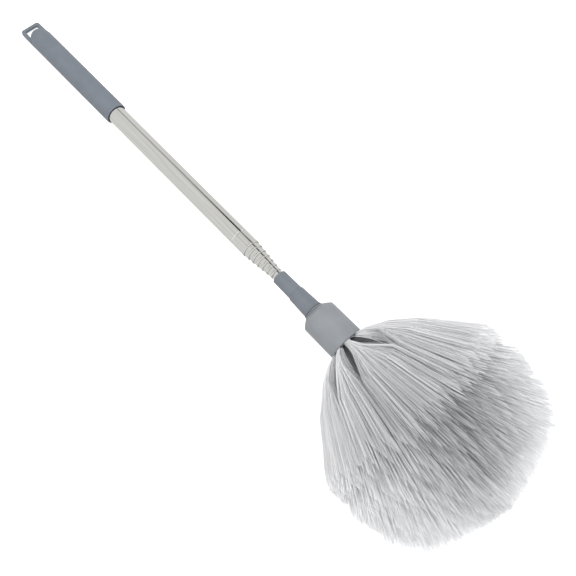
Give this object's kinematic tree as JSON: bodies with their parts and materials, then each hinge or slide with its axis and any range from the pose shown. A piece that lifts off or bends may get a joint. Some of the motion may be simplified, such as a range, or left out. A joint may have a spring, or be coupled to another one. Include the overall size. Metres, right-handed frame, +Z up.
{
  "type": "extendable duster",
  "caption": "Duster with a round bristle head on a telescopic steel pole. The pole's nested sections slide out, the head turns, and a loop on the grip hangs it up.",
  "frame": {"origin": "on the floor, under the middle of the duster's box, as it lies on the rear of its grip and on its lowest bristles", "axes": "+Z up, and +X from the hanging loop to the bristles. The pole lies in a plane parallel to XZ and rises towards the head by about 9 degrees."},
  "size_m": [0.8, 0.2332, 0.2354],
  "materials": {
    "grip_plastic": "moulded, satin",
    "stainless_steel": "drawn and polished along its length",
    "white_nylon": "moulded",
    "socket_plastic": "moulded, satin",
    "cap_plastic": "moulded, smooth",
    "block_plastic": "moulded",
    "zinc_plated_steel": "zinc plated",
    "bristle_fibre": "extruded filaments"
  },
  "bodies": {
    "handle": {"grip_handle": "grip_plastic", "rear_stop_plug": "white_nylon", "outer_tube": "stainless_steel"},
    "section_2": {"tube_2": "stainless_steel", "friction_bush_2": "white_nylon"},
    "section_3": {"tube_3": "stainless_steel", "friction_bush_3": "white_nylon"},
    "section_4": {"tube_4": "stainless_steel", "friction_bush_4": "white_nylon"},
    "section_5": {"tube_5": "stainless_steel", "friction_bush_5": "white_nylon"},
    "section_6": {"tube_6": "stainless_steel", "friction_bush_6": "white_nylon"},
    "section_7": {"tube_7": "stainless_steel", "friction_bush_7": "white_nylon"},
    "last_bush": {"friction_bush_8": "white_nylon"},
    "head": {"tube_8": "stainless_steel", "pole_connector": "socket_plastic", "head_socket": "socket_plastic", "bristle_cap": "cap_plastic", "bristle_block": "block_plastic", "block_screw": "zinc_plated_steel", "block_washer": "zinc_plated_steel", "bristle_core": "bristle_fibre", "bristle_ring_inner": "bristle_fibre", "bristle_ring_middle": "bristle_fibre", "bristle_ring_outer": "bristle_fibre"}
  },
  "joints": [
    {"name": "extend_2", "type": "slide", "parent": "handle", "child": "section_2", "axis": [0.9871, 0, 0.16], "range_m": [0, 0.3356]},
    {"name": "extend_3", "type": "slide", "parent": "section_2", "child": "section_3", "axis": [0.9871, 0, 0.16], "range_m": [0, 0.3425]},
    {"name": "extend_4", "type": "slide", "parent": "section_3", "child": "section_4", "axis": [0.9871, 0, 0.16], "range_m": [0, 0.3494]},
    {"name": "extend_5", "type": "slide", "parent": "section_4", "child": "section_5", "axis": [0.9871, 0, 0.16], "range_m": [0, 0.3563]},
    {"name": "extend_6", "type": "slide", "parent": "section_5", "child": "section_6", "axis": [0.9871, 0, 0.16], "range_m": [0, 0.3632]},
    {"name": "extend_7", "type": "slide", "parent": "section_6", "child": "section_7", "axis": [0.9871, 0, 0.16], "range_m": [0, 0.3701]},
    {"name": "extend_8", "type": "slide", "parent": "section_7", "child": "last_bush", "axis": [0.9871, 0, 0.16], "range_m": [0, 0.377]},
    {"name": "head_turn", "type": "hinge", "parent": "last_bush", "child": "head", "pos_m": [-0.36242, 0.00091, 0.01462], "axis": [0.9871, 0, 0.16], "continuous": true}
  ]
}
